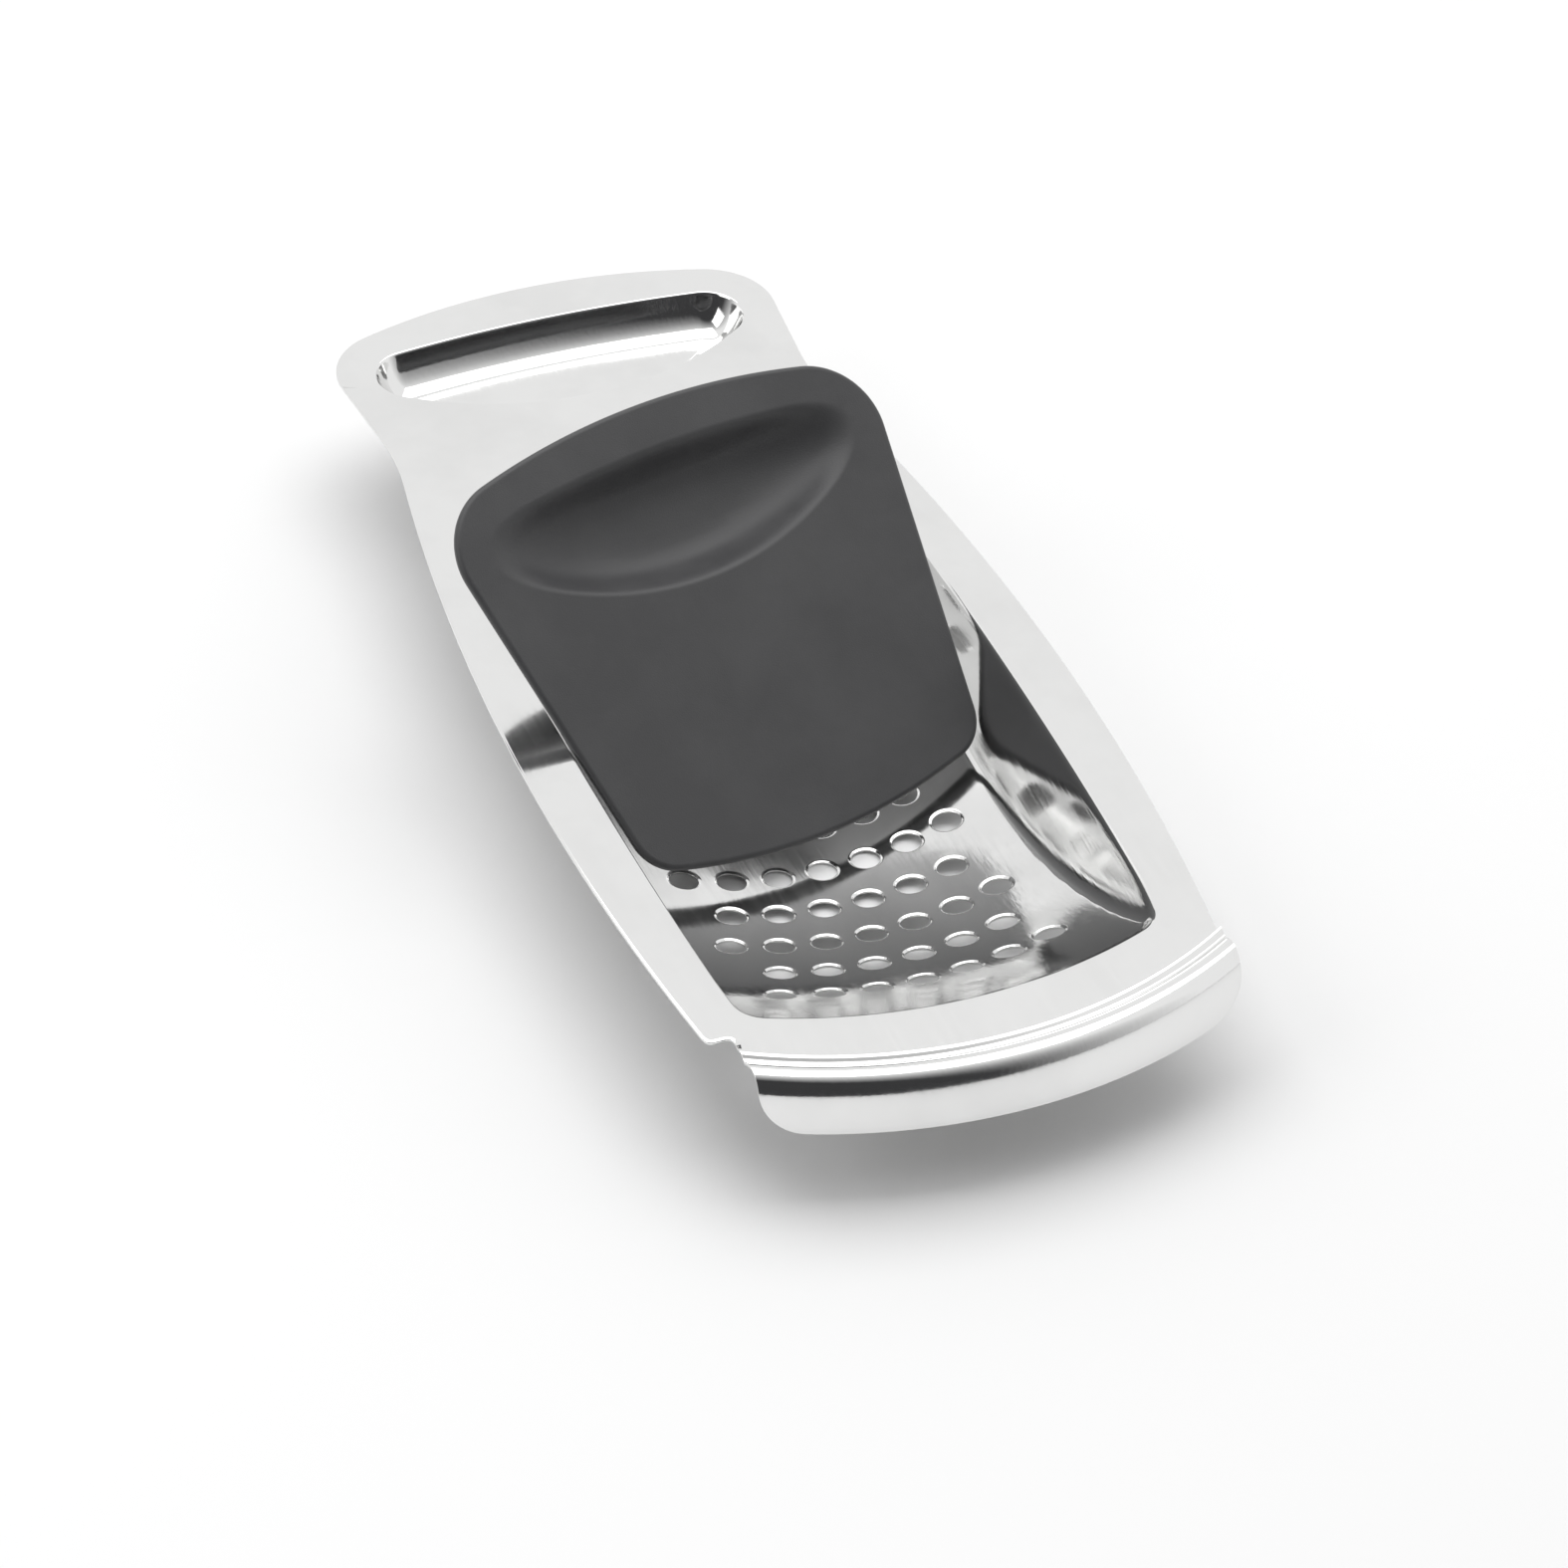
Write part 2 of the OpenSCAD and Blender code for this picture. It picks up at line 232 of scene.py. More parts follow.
def dish_loop(grow=0.0):
    return half_moon(*dish_arcs(), DISH["corner_r"], grow)


def hollow_loop(grow=0.0):
    return half_moon(*hollow_arcs(), HOLLOW["corner_r"], grow)


def distance_to(points, line, closed):
    """Distance from each point to a line of points."""
    ends = np.roll(line, -1, axis=0) if closed else line[1:]
    starts = line if closed else line[:-1]
    way = ends - starts
    length2 = (way ** 2).sum(1)
    best = np.full(len(points), np.inf)
    for chunk in range(0, len(points), POINTS_AT_ONCE):
        part = points[chunk:chunk + POINTS_AT_ONCE, None, :] - starts[None]
        along = np.clip((part * way).sum(2) / length2, 0, 1)
        gap = part - along[..., None] * way
        best[chunk:chunk + POINTS_AT_ONCE] = np.sqrt((gap ** 2).sum(2).min(1))
    return best


def inside(points, loop):
    """True for each point inside a closed loop."""
    result = np.zeros(len(points), bool)
    for a, b in zip(loop, np.roll(loop, -1, axis=0)):
        crosses = (a[1] > points[:, 1]) != (b[1] > points[:, 1])
        if a[1] != b[1]:
            x = a[0] + (points[:, 1] - a[1]) / (b[1] - a[1]) * (b[0] - a[0])
            result ^= crosses & (points[:, 0] < x)
    return result


def inset(points, loop):
    """Distance from the loop, positive inside it."""
    return distance_to(points, loop, True) * np.where(inside(points, loop), 1, -1)


def soft_max(a, b, blend):
    return np.maximum(a, b) + np.maximum(blend - np.abs(a - b), 0) ** 2 / (4 * blend)


def soft_min(a, b, blend):
    return -soft_max(-a, -b, blend)


def moon_inset(points, low_y, low_r, high_y, high_r, blend):
    """Distance inside a half-moon, blended so that its bottom has no crease."""
    low = low_r - np.linalg.norm(points - [0, low_y + low_r], axis=1)
    high = high_r - np.linalg.norm(points - [0, high_y - high_r], axis=1)
    return soft_min(low, high, blend)


def bowl(depth_in, depth, width, lip, power):
    """Height of a bowl that is steep below its rounded lip and flat at the bottom."""
    share = 1 - np.minimum(depth_in / width, 1)
    return soft_min(np.zeros(len(share)), depth * (share ** power - 1), lip)


# ---------------------------------------------------------------- pan
def flange_corner():
    side = (FLANGE_HALF - SIDE_R, WIDEST_Y)
    return side, cross_point(side, SIDE_R, (0, HOOK_Y), GROOVE_R)


def free_edge():
    """The sheet's outline from the hook's right end round the handle to its left end."""
    side, corner = flange_corner()
    waist_x = FLANGE_HALF - WAIST_IN + WAIST_R
    waist = np.array([waist_x, WAIST_Y])
    lean = math.radians(FLARE)
    way = np.array([math.sin(lean), math.cos(lean)])
    inward = np.array([-math.cos(lean), math.sin(lean)])
    end = (0, HANDLE_END - END_R)
    knuckle = round_centre(waist + WAIST_R * inward, way, inward, END_CORNER_R, end, END_R, 1)
    half = join(arc(side, SIDE_R, bearing(side, corner), bearing(side, waist), 2.4),
                arc(waist, WAIST_R, bearing(waist, side) + 360, 180 - FLARE, 2.0),
                arc(knuckle, END_CORNER_R, -FLARE, bearing(end, knuckle), 1.2),
                arc(end, END_R, bearing(end, knuckle), 90, 2.4))
    left = (half[::-1] * [-1, 1])[1:]
    cut_y = corner[1] + RELIEF
    left = left[left[:, 1] > cut_y + 0.3]
    hook_left = corner[0] - HOOK_LEFT_IN
    side_x = -(side[0] + math.sqrt(SIDE_R ** 2 - (cut_y - side[1]) ** 2))
    foot_y = HOOK_Y - math.sqrt(GROOVE_R ** 2 - hook_left ** 2)
    outer, inner = np.array([side_x, cut_y]), np.array([-hook_left, cut_y])
    left = left[left[:, 1] > cut_y + NOTCH_ROUND]
    return join(half, left, bend(left[-1], outer, outer + [NOTCH_ROUND, 0]),
                bend(inner - [NOTCH_ROUND, 0], inner, inner - [0, NOTCH_ROUND]),
                [[-hook_left, (cut_y - NOTCH_ROUND + foot_y) / 2]])


def bend(start, corner, stop):
    """A rounded corner as a short curve."""
    t = np.linspace(0, 1, CORNER_STEPS)[:, None]
    return (1 - t) ** 2 * start + 2 * t * (1 - t) * corner + t ** 2 * stop


def hook_columns():
    """Reach of the hook to each side, the shares of its width, and the count up to the corner."""
    _, corner = flange_corner()
    left, right = corner[0] - HOOK_LEFT_IN, corner[0] + HOOK_RIGHT_OUT
    share = (left + corner[0]) / (left + right)
    shares = np.r_[np.linspace(0, share, HOOK_COLUMNS), [(1 + share) / 2, 1.0]]
    return left, right, shares, HOOK_COLUMNS


def hook_profile():
    """Radius and height down the hook: groove, bead, shoulder and skirt."""
    control = np.array([(GROOVE_R, 0), (GROOVE_R, 0), (GROOVE_R, 0), (121.8, -0.1), (122.7, -0.95),
                        (123.8, -0.85), (125.0, 0.2), (126.6, 0.74), (128.4, 0.55), (129.9, -0.3),
                        (131.1, -2.0), (132.0, -4.4), (132.65, -7.0), (133.05, -9.6),
                        (SKIRT_R, SKIRT_TOP_Z),
                        (SKIRT_R, SKIRT_TOP_Z)])
    points = []
    for i in range(len(control) - 3):
        a, b, c, d = control[i:i + 4]
        for t in np.linspace(0, 1, SPLINE_STEPS, endpoint=False):
            points.append(((1 - t) ** 3 * a + (3 * t ** 3 - 6 * t * t + 4) * b
                           + (-3 * t ** 3 + 3 * t * t + 3 * t + 1) * c + t ** 3 * d) / 6)
    drop = np.sin(np.radians(np.linspace(0, 90, SKIRT_STEPS)))
    skirt = np.c_[np.full(SKIRT_STEPS, SKIRT_R), SKIRT_TOP_Z + drop * (SKIRT_Z - SKIRT_TOP_Z)]
    return join(np.array([[GROOVE_R, 0]]), np.array(points), skirt)


def hook_grid():
    """Vertices, normals and the seam row's count of the hook's outer face."""
    left, right, shares, seam = hook_columns()
    profile = hook_profile()
    slope = np.gradient(profile, axis=0)
    slope[0] = (1, 0)
    normal = np.c_[-slope[:, 1], slope[:, 0]]
    normal /= np.linalg.norm(normal, axis=1)[:, None]
    corner_z = SKIRT_Z + HOOK_CORNER_R
    verts, normals = [], []
    for (radius, z), (out, up) in zip(profile, normal):
        low = max(corner_z - z, 0)
        narrow = HOOK_CORNER_R - math.sqrt(max(HOOK_CORNER_R ** 2 - low ** 2, 0))
        x = -(left - narrow) + shares * (left + right - 2 * narrow)
        y = -np.sqrt(radius ** 2 - x ** 2)
        verts.append(np.c_[x, y + HOOK_Y, np.full(len(x), z)])
        normals.append(np.c_[out * x / radius, out * y / radius, np.full(len(x), up)])
    return np.array(verts), np.array(normals), seam


def hole_centres():
    """Rows that bow towards the handle; every other row is one hole shorter."""
    rows = int((2 * HALF_LEN - 2 * FIRST_ROW) / ROW_PITCH) + 1
    centres = []
    for row in range(rows):
        odd = row % 2
        for i in range(odd, HOLES_ACROSS):
            x = (i - (HOLES_ACROSS - 1) / 2 - odd / 2) * HOLE_PITCH
            bow = ROW_BOW_R - math.sqrt(ROW_BOW_R ** 2 - x * x)
            centres.append((x, FIRST_ROW - HALF_LEN + row * ROW_PITCH + bow))
    return np.array(centres)


def hole_squash(y):
    """How much shorter a hole looks in plan, because the floor slopes there."""
    return np.sqrt(1 - (y / FLOOR_R) ** 2)


def pan_height(points, edge, opening, dish, holes):
    """Height of the pan's upper face over its plan, with the flange at zero."""
    x, y = points[:, 0], np.clip(points[:, 1], -PLAN_REACH, PLAN_REACH)
    rise = FLOOR_R - np.sqrt(FLOOR_R ** 2 - y ** 2)
    cross = FLOOR_CROSS_R - np.sqrt(FLOOR_CROSS_R ** 2 - x ** 2)
    wall = -inset(points, opening) / WALL_LEAN
    pressed = soft_max(wall, rise + cross - DEPTH, WALL_FOOT_BLEND)
    height = soft_min(np.zeros(len(points)), pressed, LIP_BLEND)
    height = height + bowl(inset(points, dish), **DISH_BOWL)
    for centre in holes:
        gap = points - centre
        reach = np.hypot(gap[:, 0], gap[:, 1] / hole_squash(centre[1]))
        height = height - HOLE_DIP * np.clip(1 - (reach - HOLE_R) / HOLE_ROLL, 0, 1) ** 2
    roll = np.clip(1 - distance_to(points, edge, False) / EDGE_ROLL, 0, 1)
    return height - EDGE_DROP * roll ** 2


def grid_points(low, high, step):
    """Points in staggered rows over a rectangle."""
    rows = np.arange(low[1], high[1], step * 0.87)
    return np.array([(x, y) for i, y in enumerate(rows)
                     for x in np.arange(low[0] + (i % 2) * step / 2, high[0], step)])


def loop_edges(start, count):
    return [(start + i, start + (i + 1) % count) for i in range(count)]


def triangles(points, edges):
    """Constrained triangles over points, all turning anticlockwise, and the points used."""
    verts, _, faces, *_ = delaunay_2d_cdt([tuple(p) for p in points], edges, [], 0, 1e-6)
    verts = np.array([(v[0], v[1]) for v in verts])
    faces = np.array([f for f in faces if len(f) == 3])
    a, b, c = verts[faces[:, 0]], verts[faces[:, 1]], verts[faces[:, 2]]
    turn = (b[:, 0] - a[:, 0]) * (c[:, 1] - a[:, 1]) - (b[:, 1] - a[:, 1]) * (c[:, 0] - a[:, 0])
    faces[turn < 0] = faces[turn < 0][:, ::-1]
    return verts, faces[np.abs(turn) > 1e-9]


def slope_normals(points, height_of):
    """Unit normals of a height over a plan."""
    east, north = np.array([NORMAL_STEP, 0]), np.array([0, NORMAL_STEP])
    east = (height_of(points + east) - height_of(points - east)) / (2 * NORMAL_STEP)
    north = (height_of(points + north) - height_of(points - north)) / (2 * NORMAL_STEP)
    normal = np.c_[-east, -north, np.ones(len(points))]
    return normal / np.linalg.norm(normal, axis=1)[:, None]


def rim_of(faces):
    """Directed edges that only one face uses."""
    used = {}
    for face in faces:
        for a, b in zip(face, np.roll(face, -1)):
            used[(int(a), int(b))] = True
    return [edge for edge in used if (edge[1], edge[0]) not in used]


def deep_ring(opening, depth):
    """A ring of points far enough inside the opening that its corners have closed up."""
    ring = opening_loop(-depth)
    return ring[inset(ring, opening) > depth - 0.1]


def hole_lines(holes, start):
    """Rings of points round every hole, and the edges along each hole's own rim."""
    angles = np.radians(np.arange(0, 360, HOLE_TURN))
    lines, edges = [], []
    for centre in holes:
        squash = hole_squash(centre[1])
        for i, reach in enumerate(HOLE_RINGS):
            lines.append(np.c_[centre[0] + reach * np.cos(angles),
                               centre[1] + reach * np.sin(angles) * squash])
            if i == 0:
                edges += loop_edges(start, len(angles))
            start += len(angles)
    return lines, edges


def pressed_points(opening, dish, holes):
    """Points over the trough and the dish, closest together where the sheet bends."""
    rings = [opening_loop(grow) for grow in LIP_RINGS]
    rings += [deep_ring(opening, depth) for depth in FOOT_RINGS]
    rings += [dish_loop(grow) for grow in DISH_RINGS]
    grids = [grid_points((-50, -100), (50, 100), 2.8), grid_points((-48, 150), (48, 190), 3.0)]
    points = np.vstack(rings + grids)
    depth = inset(points, opening)
    gaps = np.sqrt(((points[:, None] - holes[None]) ** 2).sum(2)).min(1)
    on_ring = np.arange(len(points)) < sum(len(ring) for ring in rings)
    past_rings = (depth > 13.6) | (inset(points, dish) > 10.4)
    return points[(gaps > HOLE_R + 1.5) & (on_ring | past_rings)]


def flat_points(opening, dish):
    """Wide-spaced points over the flat flange and handle."""
    points = grid_points((-70, -125), (70, HANDLE_END), 6.0)
    return points[(inset(points, opening) < -2.5) & (inset(points, dish) < -2.5)]


def punched(points, faces, outline, holes):
    """The faces that lie inside the outline and outside every hole."""
    middle = points[faces].mean(1)
    keep = inside(middle, outline)
    for centre in holes:
        gap = middle - centre
        keep &= np.hypot(gap[:, 0], gap[:, 1] / hole_squash(centre[1])) > HOLE_R * 0.995
    return faces[keep]


def pan_sheet():
    """Upper face of the whole pan: vertices, normals and faces."""
    edge, opening, dish, holes = free_edge(), opening_loop(), dish_loop(), hole_centres()
    hook_verts, hook_normals, seam = hook_grid()
    outline = np.vstack([edge, hook_verts[0, :seam, :2][:-1]])
    lines, hole_edges = hole_lines(holes, len(outline))
    free = np.vstack([pressed_points(opening, dish, holes), flat_points(opening, dish)])
    free = free[inside(free, outline) & (distance_to(free, outline, True) > 1.2)]
    near_edge = [offset_line(edge, EDGE_LINE), offset_line(edge, EDGE_ROLL)]
    points, faces = triangles(np.vstack([outline] + lines + [free] + near_edge),
                              loop_edges(0, len(outline)) + hole_edges)
    faces = punched(points, faces, outline, holes)

    def height_of(where):
        return pan_height(where, edge, opening, dish, holes)

    verts = np.c_[points, height_of(points)]
    return add_hook(verts, slope_normals(points, height_of), faces, hook_verts, hook_normals, seam)


def offset_line(line, amount):
    """A line moved sideways into the sheet, which is on its left."""
    way = np.gradient(line, axis=0)
    way /= np.linalg.norm(way, axis=1)[:, None]
    moved = line + amount * np.c_[-way[:, 1], way[:, 0]]
    return moved[distance_to(moved, line, False) > amount * 0.9][2:-2]


def add_hook(verts, normals, faces, hook_verts, hook_normals, seam):
    """Joins the hook's grid to the flat sheet along the groove's inner edge."""
    rows, columns = hook_verts.shape[:2]
    index = np.zeros((rows, columns), int)
    index[1:] = len(verts) + columns - seam + np.arange((rows - 1) * columns).reshape(rows - 1, columns)
    index[0, seam:] = len(verts) + np.arange(columns - seam)
    for i, point in enumerate(hook_verts[0, :seam]):
        index[0, i] = int(((verts[:, :2] - point[:2]) ** 2).sum(1).argmin())
    verts[index[0, :seam], 2] = 0
    normals[index[0, :seam]] = (0, 0, 1)
    verts = np.vstack([verts, hook_verts[0, seam:], hook_verts[1:].reshape(-1, 3)])
    normals = np.vstack([normals, hook_normals[0, seam:], hook_normals[1:].reshape(-1, 3)])
    quads = [(index[i, j], index[i + 1, j], index[i + 1, j + 1], index[i, j + 1])
             for i in range(rows - 1) for j in range(columns - 1)]
    return verts, normals, [tuple(f) for f in faces] + quads


def thick_sheet(verts, normals, faces, thickness):
    """Closes a sheet with its underside and rounded edges."""
    count = len(verts)
    rim = rim_of(faces)
    out = np.zeros((count, 3))
    for a, b in rim:
        side = np.cross(verts[b] - verts[a], normals[a])
        side /= max(np.linalg.norm(side), 1e-9)
        out[a] += side
        out[b] += side
    on_rim = sorted({v for edge in rim for v in edge})
    out[on_rim] /= np.maximum(np.linalg.norm(out[on_rim], axis=1), 1e-9)[:, None]
    all_verts = [verts, verts - normals * thickness]
    all_normals = [normals, -normals]
    rings = []
    start = 2 * count
    for share in EDGE_SHARES:
        all_verts.append(verts[on_rim] - normals[on_rim] * thickness * share + out[on_rim] * EDGE_BULGE)
        tip = out[on_rim] + normals[on_rim] * (0.5 - share)
        all_normals.append(tip / np.linalg.norm(tip, axis=1)[:, None])
        rings.append({v: start + i for i, v in enumerate(on_rim)})
        start += len(on_rim)
    result = [tuple(int(v) for v in face) for face in faces]
    result += [tuple(int(v) + count for v in face[::-1]) for face in faces]
    for a, b in rim:
        levels = [(a, b)] + [(ring[a], ring[b]) for ring in rings] + [(a + count, b + count)]
        for (p, q), (r, s) in zip(levels, levels[1:]):
            result.append((q, p, r, s))
    return np.vstack(all_verts), np.vstack(all_normals), result


def make_piece(name, verts, normals, faces, place=None):
    """A smooth mesh object from millimetre vertices, with its own normals."""
    if place is not None:
        turn, shift = place
        verts, normals = verts @ turn.T + shift, normals @ turn.T
    mesh = bpy.data.meshes.new(name)
    mesh.from_pydata((verts * MM).tolist(), [], [tuple(int(v) for v in f) for f in faces])
    mesh.polygons.foreach_set("use_smooth", [True] * len(mesh.polygons))
    mesh.normals_split_custom_set_from_vertices(normals.tolist())
    piece = bpy.data.objects.new(name, mesh)
    bpy.context.scene.collection.objects.link(piece)
    return piece


def make_pan():
    verts, normals, faces = pan_sheet()
    verts, normals, faces = thick_sheet(verts, normals, faces, SHEET)
    shift = np.array([0, MID_Y, TOP_Z])
    return make_piece("pressed_pan", verts, normals, faces, (np.eye(3), shift))


# ---------------------------------------------------------------- scraper
def scraper_place():
    """Turn and shift of the scraper's own plane."""
    pitch, yaw = math.radians(SCRAPER_PITCH), math.radians(SCRAPER_YAW)
    turn = Matrix.Rotation(yaw, 3, "Z") @ Matrix.Rotation(pitch, 3, "X")
    return np.array(turn), np.array([SCRAPER_X, SCRAPER_Y + MID_Y, TOP_Z - edge_drop()])


def edge_drop():
    return DEPTH - DOUGH_GAP - (FLOOR_R - math.sqrt(FLOOR_R ** 2 - SCRAPER_Y ** 2))


def blade_half():
    """Half the blade's width at its lower edge, so that it just clears the flange."""
    pitch, yaw = math.radians(SCRAPER_PITCH), math.radians(SCRAPER_YAW)
    passing = edge_drop() / math.sin(pitch)
    shift = passing * math.cos(pitch) * math.sin(yaw) - SCRAPER_X
    return (HALF_W - SIDE_GAP - shift) / math.cos(yaw) - SCRAPER_FLARE * passing


def blade_loop(grow=0.0):
    lean = math.atan(SCRAPER_FLARE)
    way = np.array([math.sin(lean), math.cos(lean)])
    inward = np.array([-math.cos(lean), math.sin(lean)])
    start = np.array([blade_half(), 0])
    low, top = (0, BLADE["edge_r"]), (0, SCRAPER_LEN - BLADE["top_r"])
    low_r, top_r = BLADE["low_corner_r"], BLADE["top_corner_r"]
    a = round_centre(start, way, inward, low_r, low, BLADE["edge_r"], -1)
    b = round_centre(start, way, inward, top_r, top, BLADE["top_r"], 1)
    side_angle = -math.degrees(lean)
    side_end = b + (top_r + grow) * np.array([math.cos(lean), -math.sin(lean)])
    side_start = a + (low_r + grow) * np.array([math.cos(lean), -math.sin(lean)])
    side = side_start + np.linspace(0, 1, 36)[:, None] * (side_end - side_start)
    return mirrored(join(arc(low, BLADE["edge_r"], -90, bearing(low, a), 2.0, grow),
                         arc(a, low_r, bearing(low, a), side_angle, 1.0, grow), side,
                         arc(b, top_r, side_angle, bearing(top, b), 1.2, grow),
                         arc(top, BLADE["top_r"], bearing(top, b), 90, 2.0, grow)))


def blade_front(points, outline):
    """Height of the scraper's front face, with a rounded edge and a finger hollow."""
    edge = np.clip(1 - inset(points, outline) / BLADE_ROUND, 0, 1)
    rounding = BLADE_ROUND * (1 - np.sqrt(1 - edge ** 2))
    depth_in = moon_inset(points, *hollow_arcs(), HOLLOW_BLEND)
    return -rounding + bowl(depth_in, **HOLLOW_BOWL)


def blade_back(points, outline):
    """Height of the scraper's back face, tapered at the edge and bulging behind the hollow."""
    edge = np.clip(1 - inset(points, outline) / BLADE_TAPER, 0, 1)
    taper = (SCRAPER_T - BLADE_ROUND) * (1 - np.sqrt(1 - edge ** 2))
    bulge = {**HOLLOW_BOWL, "depth": HOLLOW_BOWL["depth"] + HOLLOW_WALL - SCRAPER_T}
    depth_in = moon_inset(points, *hollow_arcs(), HOLLOW_BLEND) + HOLLOW_WALL
    return taper - SCRAPER_T + bowl(depth_in, **bulge)


def make_scraper():
    outline, hollow = blade_loop(), hollow_loop()
    rings = [blade_loop(grow) for grow in BLADE_RINGS]
    rings += [hollow_loop(grow) for grow in HOLLOW_RINGS]
    grid = grid_points((-70, -2), (70, SCRAPER_LEN), 3.2)
    near = inset(grid, hollow)
    grid = grid[(inset(grid, outline) > 4.6) & ((near < -4.2) | (near > 9.4))]
    points, faces = triangles(np.vstack([outline] + rings + [grid]), loop_edges(0, len(outline)))
    faces = faces[inside(points[faces].mean(1), outline)]

    def front_of(where):
        return blade_front(where, outline)

    def back_of(where):
        return blade_back(where, outline)

    rim = rim_of(faces)
    on_rim = sorted({v for edge in rim for v in edge})
    front, back = slope_normals(points, front_of), -slope_normals(points, back_of)
    way = np.zeros((len(points), 2))
    for a, b in rim:
        step = points[b] - points[a]
        way[a] += (step[1], -step[0])
        way[b] += (step[1], -step[0])
    sideways = way[on_rim] / np.linalg.norm(way[on_rim], axis=1)[:, None]
    front[on_rim] = back[on_rim] = np.c_[sideways, np.zeros(len(on_rim))]
    count = len(points)
    twin = {int(v): count + int(v) for v in range(count)}
    for v in on_rim:
        twin[v] = v
    verts = np.vstack([np.c_[points, front_of(points)], np.c_[points, back_of(points)]])
    result = [tuple(f) for f in faces] + [tuple(twin[int(v)] for v in f[::-1]) for f in faces]
    used = sorted({int(v) for f in result for v in f})
    renumber = {v: i for i, v in enumerate(used)}
    result = [tuple(renumber[int(v)] for v in f) for f in result]
    normals = np.vstack([front, back])[used]
    return make_piece("moulded_scraper", verts[used], normals, result, scraper_place())


# ---------------------------------------------------------------- materials
def node(tree, kind, links=None, **values):
    """A shader node with its settings, plain input values and linked inputs."""
    made = tree.nodes.new(kind)
    for key, value in values.items():
        if hasattr(made, key):
            setattr(made, key, value)
        else:
            made.inputs[key.replace("_", " ")].default_value = value
    for key, source in (links or {}).items():
        tree.links.new(source, made.inputs[key])
    return made


def spread(tree, source, low, high, to_low, to_high):
    return node(tree, "ShaderNodeMapRange", {"Value": source}, From_Min=low, From_Max=high,
                To_Min=to_low, To_Max=to_high).outputs["Result"]


def handling_group():
    """Smudges and hairline scratches that both materials take with their own sizes."""
    tree = bpy.data.node_groups.new("handling_marks", "ShaderNodeTree")
    for name, value in (("Smudge Scale", 30.0), ("Scratch Scale", 400.0)):
        socket = tree.interface.new_socket(name=name, in_out="INPUT", socket_type="NodeSocketFloat")
        socket.default_value = value
    for name in ("Smudge", "Scratch"):
        tree.interface.new_socket(name=name, in_out="OUTPUT", socket_type="NodeSocketFloat")
    enter, leave = tree.nodes.new("NodeGroupInput"), tree.nodes.new("NodeGroupOutput")
    place = node(tree, "ShaderNodeTexCoord").outputs["Object"]
    cloud = node(tree, "ShaderNodeTexNoise", {"Vector": place, "Scale": enter.outputs["Smudge Scale"]},
                 Detail=5.0, Roughness=0.6)
    tree.links.new(spread(tree, cloud.outputs[0], 0.42, 0.68, 0.0, 1.0), leave.inputs["Smudge"])
    stretch = node(tree, "ShaderNodeMapping", {"Vector": place}, Scale=(1.0, 0.03, 1.0))
    lines = node(tree, "ShaderNodeTexNoise", {"Vector": stretch.outputs[0],
                                              "Scale": enter.outputs["Scratch Scale"]}, Detail=3.0)
    tree.links.new(spread(tree, lines.outputs[0], 0.35, 0.75, 0.0, 1.0), leave.inputs["Scratch"])
    return tree


def marks(tree, group, smudge, scratch):
    made = tree.nodes.new("ShaderNodeGroup")
    made.node_tree = group
    made.inputs["Smudge Scale"].default_value = smudge
    made.inputs["Scratch Scale"].default_value = scratch
    return made


def new_material(name):
    material = bpy.data.materials.new(name)
    material.use_nodes = True
    return material, material.node_tree, material.node_tree.nodes["Principled BSDF"]


def polished_steel(group):
    """Bright pressed steel: fine polishing lines along the tool and faint smudges."""
    material, tree, shader = new_material("polished_steel")
    shader.inputs["Metallic"].default_value = 1.0
    found = marks(tree, group, 26.0, 900.0)
    tint = node(tree, "ShaderNodeValToRGB", {"Fac": found.outputs["Smudge"]})
    tint.color_ramp.elements[0].color = (0.80, 0.80, 0.795, 1)
    tint.color_ramp.elements[1].color = (0.745, 0.745, 0.74, 1)
    tree.links.new(tint.outputs["Color"], shader.inputs["Base Color"])
    smear = spread(tree, found.outputs["Smudge"], 0, 1, 0.06, 0.12)
    grain = spread(tree, found.outputs["Scratch"], 0, 1, 0.0, 0.05)
    rough = node(tree, "ShaderNodeMath", {0: smear, 1: grain}, operation="ADD")
    tree.links.new(rough.outputs[0], shader.inputs["Roughness"])
    bump = node(tree, "ShaderNodeBump", {"Height": found.outputs["Scratch"]},
                Strength=0.03, Distance=0.0002)
    tree.links.new(bump.outputs[0], shader.inputs["Normal"])
    return material


def moulded_plastic(group):
    """Dark matt plastic with a fine eroded mould texture."""
    material, tree, shader = new_material("moulded_plastic")
    shader.inputs["Specular IOR Level"].default_value = 0.42
    found = marks(tree, group, 34.0, 600.0)
    tint = node(tree, "ShaderNodeValToRGB", {"Fac": found.outputs["Smudge"]})
    tint.color_ramp.elements[0].color = (0.050, 0.050, 0.052, 1)
    tint.color_ramp.elements[1].color = (0.062, 0.062, 0.064, 1)
    tree.links.new(tint.outputs["Color"], shader.inputs["Base Color"])
    rough = spread(tree, found.outputs["Smudge"], 0, 1, 0.40, 0.50)
    tree.links.new(rough, shader.inputs["Roughness"])
    place = node(tree, "ShaderNodeTexCoord").outputs["Object"]
    pits = node(tree, "ShaderNodeTexNoise", {"Vector": place}, Scale=2600.0, Detail=2.0)
    bump = node(tree, "ShaderNodeBump", {"Height": pits.outputs[0]}, Strength=0.16, Distance=0.0002)
    tree.links.new(bump.outputs[0], shader.inputs["Normal"])
    return material


# ---------------------------------------------------------------- studio
FLOOR_REACH = 6.0
CAMERA_LENS = 193.45
CAMERA_PLACE = (-0.6226, -1.6009, 1.2603)
CAMERA_HEADING, CAMERA_DROP, CAMERA_ROLL = -22.729, 38.557, 2.034


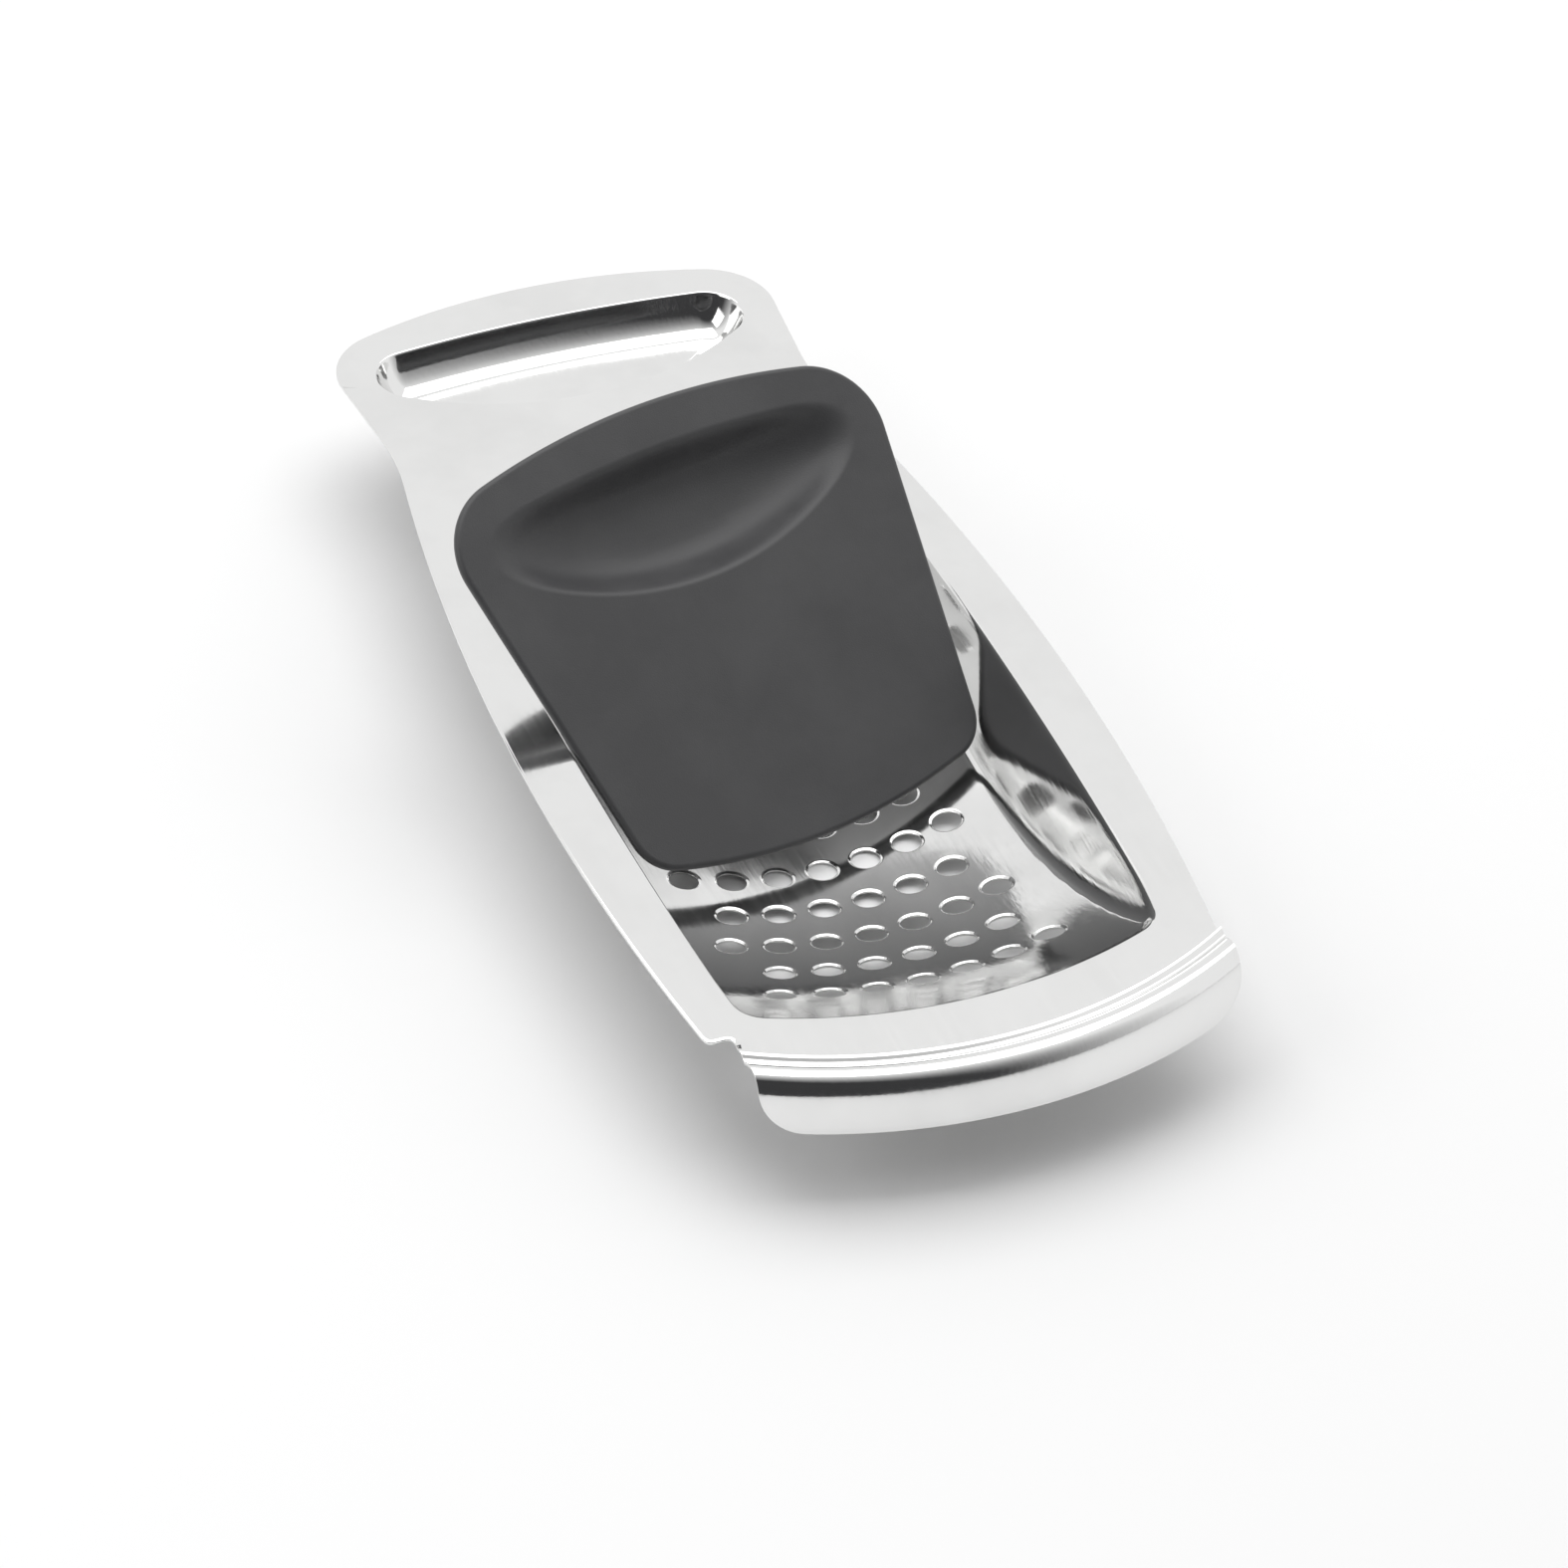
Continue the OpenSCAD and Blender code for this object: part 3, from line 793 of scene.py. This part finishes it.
def make_floor(low_z):
    mesh = bpy.data.meshes.new("floor")
    reach = FLOOR_REACH
    mesh.from_pydata([(-reach, -reach, low_z), (reach, -reach, low_z), (reach, reach, low_z),
                      (-reach, reach, low_z)], [], [(0, 1, 2, 3)])
    floor = bpy.data.objects.new("floor", mesh)
    bpy.context.scene.collection.objects.link(floor)
    material, tree, shader = new_material("pale_floor")
    shader.inputs["Base Color"].default_value = (0.84, 0.84, 0.84, 1)
    shader.inputs["Roughness"].default_value = 0.9
    shader.inputs["Specular IOR Level"].default_value = 0.1
    mesh.materials.append(material)


def softbox(name, place, aim, size, power):
    light = bpy.data.lights.new(name, "AREA")
    light.shape = "RECTANGLE"
    light.size, light.size_y = size
    light.energy = power
    lamp = bpy.data.objects.new(name, light)
    bpy.context.scene.collection.objects.link(lamp)
    lamp.location = place
    lamp.rotation_euler = (Vector(aim) - Vector(place)).to_track_quat("-Z", "Y").to_euler()


# Horizontal direction away from the studio's dark side
DARK_AWAY = (0.5, 0.87, 0.0)


def make_world():
    """Bright all round, with a dark front left so that the hook has something dark to show."""
    world = bpy.data.worlds.new("studio")
    bpy.context.scene.world = world
    world.use_nodes = True
    tree = world.node_tree
    way = node(tree, "ShaderNodeTexCoord").outputs["Generated"]
    facing = node(tree, "ShaderNodeVectorMath", {0: way}, operation="DOT_PRODUCT")
    facing.inputs[1].default_value = DARK_AWAY
    ramp = node(tree, "ShaderNodeValToRGB", {"Fac": spread(tree, facing.outputs["Value"], -1, 1, 0, 1)})
    ramp.color_ramp.elements[0].color = (0.05, 0.05, 0.052, 1)
    ramp.color_ramp.elements[0].position = 0.16
    ramp.color_ramp.elements[1].color = (1, 1, 1, 1)
    ramp.color_ramp.elements[1].position = 0.5
    tree.links.new(ramp.outputs["Color"], tree.nodes["Background"].inputs["Color"])
    tree.nodes["Background"].inputs["Strength"].default_value = 0.98


def make_camera():
    camera = bpy.data.cameras.new("camera")
    camera.lens = CAMERA_LENS
    camera.clip_end = 20
    holder = bpy.data.objects.new("camera", camera)
    bpy.context.scene.collection.objects.link(holder)
    heading, drop, roll = (math.radians(a) for a in (CAMERA_HEADING, CAMERA_DROP, CAMERA_ROLL))
    turn = (Matrix.Rotation(heading, 4, "Z") @ Matrix.Rotation(math.pi / 2 - drop, 4, "X")
            @ Matrix.Rotation(roll, 4, "Z"))
    holder.matrix_world = Matrix.Translation(CAMERA_PLACE) @ turn
    bpy.context.scene.camera = holder


marks_group = handling_group()
pan = make_pan()
pan.data.materials.append(polished_steel(marks_group))
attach(pan, "pan")
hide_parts("trough", "flange", "handle", "hook")

scraper = make_scraper()
scraper.data.materials.append(moulded_plastic(marks_group))
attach(scraper, "scraper")
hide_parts("scraper")

make_floor(trough_low[2] * MM)
make_world()
softbox("overhead", (0.1, 0.35, 1.5), (0, -0.1, 0), (1.8, 1.4), 15)
softbox("left_side", (-1.3, -0.2, 0.9), (0, -0.1, 0), (0.9, 0.9), 4)
make_camera()
bpy.context.scene.view_settings.view_transform = "Standard"
